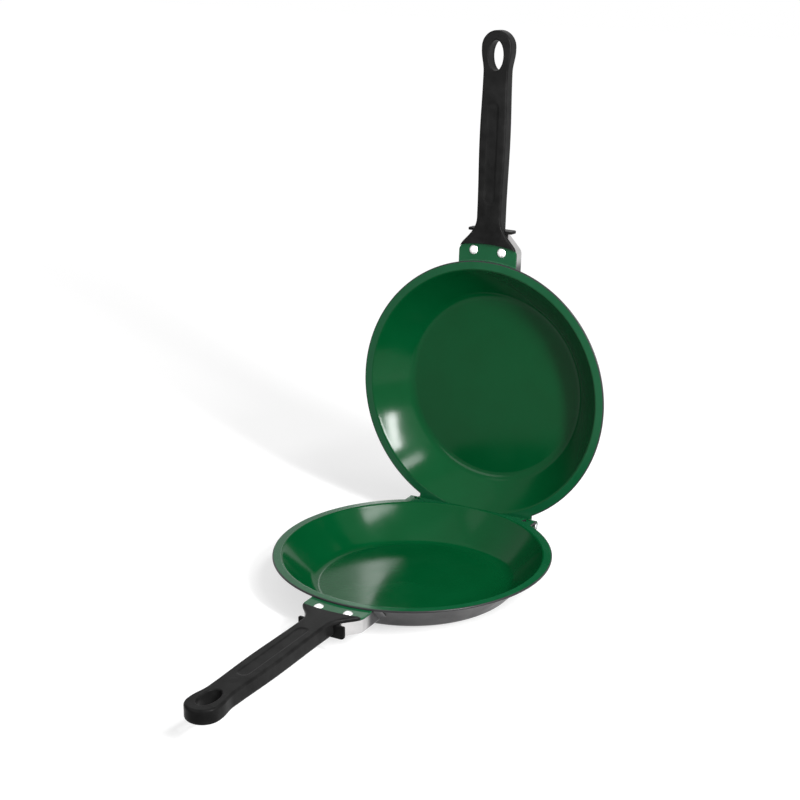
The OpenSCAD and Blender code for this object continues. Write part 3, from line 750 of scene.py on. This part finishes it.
def grip(shape):
    """The grip, half at a time: rows that start along the tab's edge and straighten out,
    straight rows over the shoulder, and rows along the grip to its tip."""
    side_x, side_s = grip_side()
    step_x, step_s = np.gradient(side_x), np.gradient(side_s)
    length = np.hypot(step_x, step_s)
    inward = np.stack([-step_s, step_x]) / length
    inward[:, -1], inward[:, 0] = (0, -1), (-1, 0)
    body = grip_columns(side_x, side_x, side_s, inward, inward)

    straight_s = np.linspace(TAB_R + SHOULDER_END, TAB_R + NECK_AT, 26)[:-1]
    straight = shoulder_rows(straight_s)

    # first distance of each column: where it meets the tab's edge, found by halving
    first, last = straight_s[0], TAB_R + SHOULDER_AT
    low, high = np.full(straight[0].shape[1], last), np.full(straight[0].shape[1], first)
    for _ in range(40):
        middle = (low + high) / 2
        x = np.diagonal(shoulder_rows(middle)[0])
        past = middle > tab_edge(x)
        low, high = np.where(past, low, middle), np.where(past, middle, high)
    t = (np.linspace(0, 1, 24)[:-1] ** 1.3)[:, None]
    end_s = high + t * (first - high)
    rows = [shoulder_rows(line) for line in end_s]
    end = tuple(np.stack([np.diagonal(row[k]) for row in rows]) for k in range(3))

    x, s, depth = (np.concatenate(part) for part in zip(end, straight, body))
    under = np.maximum(depth[:1], TAB_STEP + SHEET + 0.04)
    x, s = (np.concatenate([line[:1], line]) for line in (x, s))
    depth = np.concatenate([under, depth])

    # the hole's mouth and wall: how far each ring is grown, its drop, and whether the drop
    # is measured from the inner face, as a share of the wall, or from the outer face
    angle = np.radians(np.linspace(0, 180, 61))
    hole = []
    mouth = [(HANG_EDGE * (1 - np.cos(turn)), HANG_EDGE * (1 - np.sin(turn))) for turn in QUARTER]
    ring = [(grow, drop, 0) for grow, drop in mouth] + [(0, share, 1) for share in (0.35, 0.65)]
    ring += [(grow, drop, 2) for grow, drop in mouth[::-1]]
    for grow, drop, where in ring:
        ellipse_s = HANG_S - (HANG_B + grow) * np.cos(angle)
        base = grip_depth(ellipse_s)
        wall = HANG_EDGE + drop * (base - 2 * HANG_EDGE)
        depths = (np.full_like(base, drop), wall, base - drop)
        hole.append(((HANG_A + grow) * np.sin(angle), ellipse_s, depths[where]))
    hole_x, hole_s, hole_depth = (np.stack(values, 1) for values in zip(*hole))
    for side in (1, -1):
        shape.grid(handle_side(side * x, s, depth))
        shape.grid(handle_side(side * hole_x, hole_s, hole_depth))
    # the end under the tab
    shape.grid(np.stack([handle_side(x[0], s[0], depth[0]), handle_side(-x[0], s[0], depth[0])]))


def slab(shape, side, low, high, edge):
    """A slab across the handle: its outline, symmetrical about the middle, is drawn in by
    an edge at the top and the bottom. side is the right half of the outline in plan."""
    quarter = np.radians(np.linspace(90, 0, 5))
    step = np.gradient(side, axis=0)
    normal = np.stack([-step[:, 1], step[:, 0]], 1) / np.linalg.norm(step, axis=1, keepdims=True)
    rings = [(edge * (1 - np.cos(a)), high + edge * (1 - np.sin(a))) for a in quarter]
    rings += [(edge * (1 - np.cos(a)), low - edge * (1 - np.sin(a))) for a in quarter[::-1]]
    within = np.linspace(0, 1, 6)[:-1]
    columns = []
    for inset, depth, shares in [
        (*rings[0], within), *((*ring, [1]) for ring in rings), (*rings[-1], within[::-1]),
    ]:
        line = side + inset * normal
        for part in shares:
            columns.append((line[:, 0] * part, line[:, 1], np.full(len(line), depth)))
    x, s, depth = (np.stack(values, 1) for values in zip(*columns))
    for turn in (1, -1):
        shape.grid(handle_side(turn * x, s, depth))
    for end in (0, -1):
        shape.grid(np.stack([handle_side(turn * x[end], s[end], depth[end]) for turn in (1, -1)]))


def collar(shape):
    """Collar: a thin plate across the handle, its outline with round corners in x and
    depth carried along s."""
    side = COLLAR_W / 2
    right = np.concatenate([
        arc((side - COLLAR_TOP_R, COLLAR_TOP + COLLAR_TOP_R), COLLAR_TOP_R, -90, 0, 6),
        arc((side - COLLAR_LOW_R, COLLAR_LOW - COLLAR_LOW_R), COLLAR_LOW_R, 0, 90, 9),
    ])
    share = np.array([0, 0.5, 1.0])
    front = []
    for s in (COLLAR_S, COLLAR_S + COLLAR_T):
        x = right[:, 0][:, None] * np.concatenate([-share[::-1], share[1:]])
        front.append(handle_side(x, s, np.broadcast_to(right[:, 1][:, None], x.shape)))
    shape.plate(front[0], front[1], rounding=RESIN_EDGE)


def handle():
    """Grip with its shoulder, the tongue inside the guard, and the collar."""
    shape = Shape()
    grip(shape)
    under_tab = (TONGUE_FROM, TAB_STEP + SHEET + TONGUE_ROOM, 0)
    under_shoulder = (TAB_R + 1, SHOULDER_T - 0.3, HAIR)
    for start, top, less in (under_tab, under_shoulder):
        s = np.linspace(start, GUARD_END - 0.1, 40)
        side = np.stack([guard_half(s, GUARD_T + FIT) - less, s], 1)
        slab(shape, side, GUARD_DEPTH - GUARD_T, top, RESIN_EDGE)
    collar(shape)
    return shape


# ---- small parts ---------------------------------------------------------------------

def turned_part(shape, centre_x, centre_s, section):
    """A section of radius and depth, turned about an upright axis on the handle's side."""
    angle = np.radians(np.arange(0, 360, 7.5))[:, None]
    x = centre_x + section[:, 0] * np.cos(angle)
    s = centre_s + section[:, 0] * np.sin(angle)
    shape.grid(handle_side(x, s, np.broadcast_to(section[:, 1], x.shape)), close_rows=True)


def rivet(side):
    """Rivet: a domed head with a soft edge on the tab, a shank, and a flat tail."""
    shape = Shape()
    dome_r = (RIVET_HEAD_R ** 2 + RIVET_HEAD_H ** 2) / (2 * RIVET_HEAD_H)
    dome_angle = np.degrees(np.arcsin(RIVET_HEAD_R / dome_r))
    dome = arc((0, TAB_STEP + dome_r - RIVET_HEAD_H), dome_r, -90, -90 + dome_angle, 12)
    tail, soft = GUARD_DEPTH + RIVET_TAIL_H, 0.4
    section = np.concatenate([dome[:-1], [
        [RIVET_HEAD_R - 0.1, TAB_STEP - 0.12], [RIVET_HEAD_R - 0.15, TAB_STEP],
        [RIVET_SHANK_R, TAB_STEP], [RIVET_SHANK_R, GUARD_DEPTH],
        [RIVET_TAIL_R, GUARD_DEPTH], [RIVET_TAIL_R, tail - soft],
        [RIVET_TAIL_R - soft, tail], [0, tail],
    ]])
    turned_part(shape, side * RIVET_X, RIVET_S, section)
    return shape


def magnet_plug():
    """Plug: a disc with a softened edge, a hair proud of the handle's inner face."""
    shape = Shape()
    section = np.array([
        [0, -PLUG_PROUD], [PLUG_R - 0.5, -PLUG_PROUD], [PLUG_R - 0.2, -PLUG_PROUD / 2],
        [PLUG_R, 0.15], [PLUG_R, PLUG_H], [0, PLUG_H],
    ])
    turned_part(shape, 0, PLUG_S, section)
    return shape


# ---- finishes ------------------------------------------------------------------------

def set_inputs(node, values):
    """Sets a node's sockets by name or number."""
    for socket, value in values.items():
        node.inputs[socket].default_value = value


def connect(tree, node, sources):
    """Links sockets of other nodes to a node's own, by name or number."""
    for socket, source in sources.items():
        tree.links.new(source, node.inputs[socket])


def make(tree, kind, values=None, sources=None, **settings):
    """A new shader node with its settings, the values of its sockets and its links. It
    returns the node's outputs."""
    node = tree.nodes.new("ShaderNode" + kind)
    for name, value in settings.items():
        setattr(node, name, value)
    set_inputs(node, values or {})
    connect(tree, node, sources or {})
    return node.outputs


def new_group(name, inputs, outputs):
    """An empty shader node group, what it is given, and the node that takes its results."""
    group = bpy.data.node_groups.new(name, "ShaderNodeTree")
    for socket, kind, value in inputs:
        added = group.interface.new_socket(socket, in_out="INPUT", socket_type="NodeSocket" + kind)
        added.default_value = value
    for socket, kind in outputs:
        group.interface.new_socket(socket, in_out="OUTPUT", socket_type="NodeSocket" + kind)
    given, result = group.nodes.new("NodeGroupInput"), group.nodes.new("NodeGroupOutput")
    return group, given.outputs, result


def mottle_group():
    """Slow and fine unevenness: two noises of different scales, put out as a colour that
    goes from the base towards the spots by an amount, a height for a bump, and the slow
    noise itself."""
    group, given, result = new_group("surface_mottle", [
        ("Base", "Color", (0.5, 0.5, 0.5, 1)), ("Spots", "Color", (0.5, 0.5, 0.5, 1)),
        ("Scale", "Float", 40.0), ("Fine Scale", "Float", 900.0), ("Amount", "Float", 0.3),
    ], [("Color", "Color"), ("Height", "Float"), ("Slow", "Float")])
    place = make(group, "TexCoord")["Object"]
    slow = make(group, "TexNoise", {"Detail": 4}, {"Vector": place, "Scale": given["Scale"]})
    fine = make(group, "TexNoise", {"Detail": 3}, {"Vector": place, "Scale": given["Fine Scale"]})
    # most of the slow noise lies between these two values
    spread = make(group, "MapRange", {"From Min": 0.35, "From Max": 0.7},
                  {"Value": slow["Fac"]})["Result"]
    amount = make(group, "Math", {}, {0: spread, 1: given["Amount"]}, operation="MULTIPLY")
    mix = make(group, "Mix", {}, {
        "Factor": amount["Value"], "A": given["Base"], "B": given["Spots"]}, data_type="RGBA")
    connect(group, result, {"Color": mix["Result"], "Height": fine["Fac"], "Slow": spread})
    return group


def marks_group():
    """Fine lines along one direction: noise stretched along an axis."""
    group, given, result = new_group(
        "fine_marks", [("Across", "Float", 1200.0), ("Along", "Float", 20.0)], [("Lines", "Float")])
    place = make(group, "TexCoord")["Object"]
    scale = make(group, "CombineXYZ", {}, {
        "X": given["Across"], "Y": given["Along"], "Z": given["Across"]})
    stretch = make(group, "VectorMath", {}, {0: place, 1: scale["Vector"]}, operation="MULTIPLY")
    lines = make(group, "TexNoise", {"Scale": 1.0, "Detail": 2}, {"Vector": stretch["Vector"]})
    connect(group, result, {"Lines": lines["Fac"]})
    return group


MOTTLE, MARKS = mottle_group(), marks_group()


def finish(name, base, spots, scale, fine_scale, amount, bump, distance, settings, rough,
           marks=None, shaded=None):
    """A painted or moulded finish: mottled colour, roughness that follows the slow noise,
    a fine bump, marks (across, along, weight) where they are asked for, and a second,
    darker base painted in as shade where the piece's own shade value says so."""
    material = bpy.data.materials.new(name)
    material.use_nodes = True
    tree = material.node_tree
    shader = tree.nodes["Principled BSDF"]
    set_inputs(shader, settings)
    mottle = make(tree, "Group", {
        "Base": (*base, 1), "Spots": (*spots, 1), "Scale": scale, "Fine Scale": fine_scale,
        "Amount": amount,
    }, node_tree=MOTTLE)
    colour, height = mottle["Color"], mottle["Height"]
    # painted shade: the colour goes towards the shaded base by the piece's shade value
    if shaded:
        shade = make(tree, "Attribute", attribute_name="shade")["Fac"]
        colour = make(tree, "Mix", {"B": (*shaded, 1)}, {"Factor": shade, "A": colour},
                      data_type="RGBA")["Result"]
    if marks:
        across, along, weight = marks
        lines = make(tree, "Group", {"Across": across, "Along": along}, node_tree=MARKS)["Lines"]
        height = make(tree, "Math", {1: weight}, {0: lines, 2: height},
                      operation="MULTIPLY_ADD")["Value"]
    roughness = make(tree, "MapRange", {"To Min": rough[0], "To Max": rough[1]},
                     {"Value": mottle["Slow"]})
    relief = make(tree, "Bump", {"Strength": bump, "Distance": distance}, {"Height": height})
    connect(tree, shader, {
        "Base Color": colour, "Roughness": roughness["Result"], "Normal": relief["Normal"]})
    return material


# Ceramic coating: deep green with a clear gloss over faint orange peel.
green = finish(
    "green_ceramic_coating", base=(0.0003, 0.044, 0.0115), spots=(0.0007, 0.051, 0.0145),
    scale=30, fine_scale=500, amount=0.5, bump=0.05, distance=0.0003,
    settings={"Specular IOR Level": 0.1}, rough=(0.12, 0.17))

# The same coating on the flat rim and the tab, with a paler base that paints in the sheen these
# flat parts show, and a little more gloss.
rim_green_sheen = finish(
    "green_rim_coating", base=(0.0025, 0.055, 0.019), spots=(0.006, 0.064, 0.025),
    scale=40, fine_scale=500, amount=0.5, bump=0.05, distance=0.0003,
    settings={"Specular IOR Level": 0.16}, rough=(0.16, 0.24))

# Heat-proof paint on the outside: nearly black, satin, with a fine grain.
dark = finish(
    "dark_outside_paint", base=(0.013, 0.013, 0.014), spots=(0.02, 0.02, 0.021),
    scale=60, fine_scale=1500, amount=0.7, bump=0.15, distance=0.0002,
    settings={"Specular IOR Level": 0.2}, rough=(0.3, 0.42))

# Moulded handle: black phenolic resin with a fine skin and faint lengthwise marks.
resin = finish(
    "black_resin", base=(0.006, 0.006, 0.006), spots=(0.012, 0.012, 0.012),
    scale=90, fine_scale=2600, amount=0.8, bump=0.2, distance=0.00015,
    settings={"Specular IOR Level": 0.03}, rough=(0.28, 0.38), marks=(500.0, 22.0, 0.6))

# Guard: polished stainless steel with drawn lines, and a painted dark reflection of the pan on its
# flares beside the wall.
steel = finish(
    "polished_steel", base=(0.5, 0.49, 0.49), spots=(0.4, 0.4, 0.4),
    scale=120, fine_scale=700, amount=0.6, bump=0.05, distance=0.0002,
    settings={"Metallic": 1.0}, rough=(0.12, 0.22), marks=(900.0, 30.0, 0.8),
    shaded=(0.06, 0.06, 0.062))

# Rivets: bright aluminium, slightly dented.
bright = finish(
    "rivet_aluminium", base=(0.88, 0.86, 0.86), spots=(0.8, 0.79, 0.79),
    scale=500, fine_scale=1500, amount=0.6, bump=0.1, distance=0.0002,
    settings={"Metallic": 0.55}, rough=(0.26, 0.36))

# Pins and magnets: plain steel.
plain = finish(
    "plain_steel", base=(0.55, 0.55, 0.56), spots=(0.42, 0.42, 0.43),
    scale=200, fine_scale=1800, amount=0.7, bump=0.1, distance=0.0002,
    settings={"Metallic": 1.0}, rough=(0.3, 0.45))

# ---- the two halves ------------------------------------------------------------------

HALVES = (("lower", lower_place, lower_shell), ("upper", upper_place, upper_shell))

for half, place, shell in HALVES:
    body = half + "_half"
    # the pan's third finish is the rim coating, whose paler base is painted sheen
    shell().piece(
        half + "_pan_shell", body, half + "_pan", "pan_coating", [green, dark, rim_green_sheen], place,
        sharp=50)
    # the guard's flares take a painted dark reflection of the pan
    guard().piece(
        half + "_guard_channel", body, half + "_guard", "guard_steel", [steel], place, sharp=40,
        shade=flare_painted_reflection)
    handle().piece(
        half + "_grip", body, half + "_handle", "handle_resin", [resin], place, sharp=50)
    magnet_plug().piece(
        half + "_plug_disc", body, half + "_magnet_plug", "plug_resin", [resin], place)
    for name, side in (("left", -1), ("right", 1)):
        rivet(side).piece(
            f"{half}_rivet_head_{name}", body, f"{half}_rivet_{name}", "rivet_metal", [bright],
            place)

for node, obj in frame["nodes"].items():
    if "pin" in node or node.endswith("magnet"):
        obj.data.materials.clear()
        obj.data.materials.append(plain)

# ---- camera, lights and floor --------------------------------------------------------

PICTURE_PX = 800
FOCAL_PX = 1737.5
CAMERA_AZ, CAMERA_EL, CAMERA_ROLL = np.radians([29.66, 18.64, -0.18])
CAMERA_DISTANCE = 1.3
CAMERA_TARGET = np.array([0.08928, -0.17789, 0.24108])
SENSOR_MM = 36
FLOOR_HALF, FLOOR_DROP = 4.0, 0.0004
FLOOR_NEAR, FLOOR_FAR, GLOW_NEAR, GLOW_FAR = 0.2, 1.8, 0.61, 0.87
WORLD_LIGHT = 0.25

# Each lamp: place and aim in metres, width and height in metres, power in watts.
LAMPS = {
    "key": ((1.3, -1.0, 1.1), (0, 0, 0.15), 1.1, 1.1, 4),
    "side": ((0.85, -0.34, 0.66), (-0.094, 0.134, 0.087), 0.1, 0.5, 19),
    "back": ((-0.632, 1.008, 0.545), (-0.03, -0.01, 0), 0.045, 0.5, 0.27),
    "high": ((0.57, -0.16, 1.0), (-0.07, 0.07, 0.03), 0.5, 0.12, 6.5),
    "low": ((-0.37, -0.95, 0.52), (0, 0.1, 0.1), 0.5, 0.3, 2.4),
    "left": ((-0.6, -0.48, 0.88), (0, 0.1, 0.03), 0.25, 0.25, 0.3),
    "top": ((-0.4, -0.3, 1.9), (0, 0, 0), 1.2, 1.2, 2),
}


def stand(data, right, up, back, place):
    """Puts a camera or a lamp at a place: it looks against its back direction."""
    obj = bpy.data.objects.new(data.name, data)
    matrix = np.eye(4)
    matrix[:3, 0], matrix[:3, 1], matrix[:3, 2], matrix[:3, 3] = right, up, back, place
    obj.matrix_world = matrix.T.tolist()
    bpy.context.scene.collection.objects.link(obj)
    return obj


def camera():
    """Camera at a distance from its target, in the direction given by azimuth and
    elevation, turned about its own axis by the roll."""
    level = np.cos(CAMERA_EL)
    back = np.array([np.sin(CAMERA_AZ) * level, -np.cos(CAMERA_AZ) * level, np.sin(CAMERA_EL)])
    right = np.array([np.cos(CAMERA_AZ), np.sin(CAMERA_AZ), 0])
    up = np.cross(back, right)
    rolled_right = np.cos(CAMERA_ROLL) * right + np.sin(CAMERA_ROLL) * up
    rolled_up = np.cos(CAMERA_ROLL) * up - np.sin(CAMERA_ROLL) * right
    data = bpy.data.cameras.new("camera")
    data.sensor_width = SENSOR_MM
    data.lens = SENSOR_MM * FOCAL_PX / PICTURE_PX
    place = CAMERA_TARGET + CAMERA_DISTANCE * back
    bpy.context.scene.camera = stand(data, rolled_right, rolled_up, back, place)


def soft_box(name, place, aim, width, height, power):
    """A rectangular lamp at a place, facing a point."""
    data = bpy.data.lights.new(name, "AREA")
    data.shape = "RECTANGLE"
    data.size, data.size_y, data.energy = width, height, power
    back = np.array(place, float) - np.array(aim, float)
    back /= np.linalg.norm(back)
    right = np.cross([0, 0, 1], back)
    right /= np.linalg.norm(right)
    stand(data, right, np.cross(back, right), back, place)


def white_to_camera(tree, seen_strength, light_strength):
    """A strength that is one value for rays from the camera, a mirror or a glass, and
    another for the light that falls on the object."""
    path = make(tree, "LightPath")
    seen = path["Is Camera Ray"]
    for ray in ("Is Glossy Ray", "Is Transmission Ray"):
        seen = make(tree, "Math", {}, {0: seen, 1: path[ray]}, operation="MAXIMUM")["Value"]
    strength = {"To Min": light_strength, "To Max": seen_strength}
    return make(tree, "MapRange", strength, {"Value": seen})["Result"]


def world():
    """White to the camera and in mirrors; a lower plain white as light."""
    studio = bpy.data.worlds.new("studio")
    studio.use_nodes = True
    tree = studio.node_tree
    background = tree.nodes["Background"]
    set_inputs(background, {"Color": (1, 1, 1, 1)})
    connect(tree, background, {"Strength": white_to_camera(tree, 1.0, WORLD_LIGHT)})
    bpy.context.scene.world = studio


def floor():
    """Pale floor: diffuse, so that it takes the shadow, with light of its own for the eye
    and for mirrors, more of it farther from the lamps, so that it is as white as the
    background all over."""
    mesh = bpy.data.meshes.new("floor")
    corners = [(x * FLOOR_HALF, y * FLOOR_HALF, 0) for x, y in ((-1, -1), (1, -1), (1, 1), (-1, 1))]
    mesh.from_pydata(corners, [], [(0, 1, 2, 3)])
    obj = bpy.data.objects.new("floor", mesh)
    obj.location.z = -FLOOR_DROP
    bpy.context.scene.collection.objects.link(obj)
    material = bpy.data.materials.new("floor_white")
    material.use_nodes = True
    tree = material.node_tree
    shader = tree.nodes["Principled BSDF"]
    set_inputs(shader, {
        "Base Color": (0.45, 0.45, 0.45, 1), "Roughness": 0.9, "Specular IOR Level": 0.1,
        "Emission Color": (1, 1, 1, 1)})
    place = make(tree, "TexCoord")["Object"]
    distance = make(tree, "VectorMath", {}, {0: place}, operation="LENGTH")["Value"]
    own = make(tree, "MapRange", {
        "From Min": FLOOR_NEAR, "From Max": FLOOR_FAR, "To Min": GLOW_NEAR, "To Max": GLOW_FAR,
    }, {"Value": distance})["Result"]
    strength = make(tree, "Math", {}, {0: white_to_camera(tree, 1.0, 0.0), 1: own},
                    operation="MULTIPLY")["Value"]
    connect(tree, shader, {"Emission Strength": strength})
    mesh.materials.append(material)


camera()
world()
floor()
for name, lamp in LAMPS.items():
    soft_box(name, *lamp)
bpy.context.scene.view_settings.view_transform = "Standard"
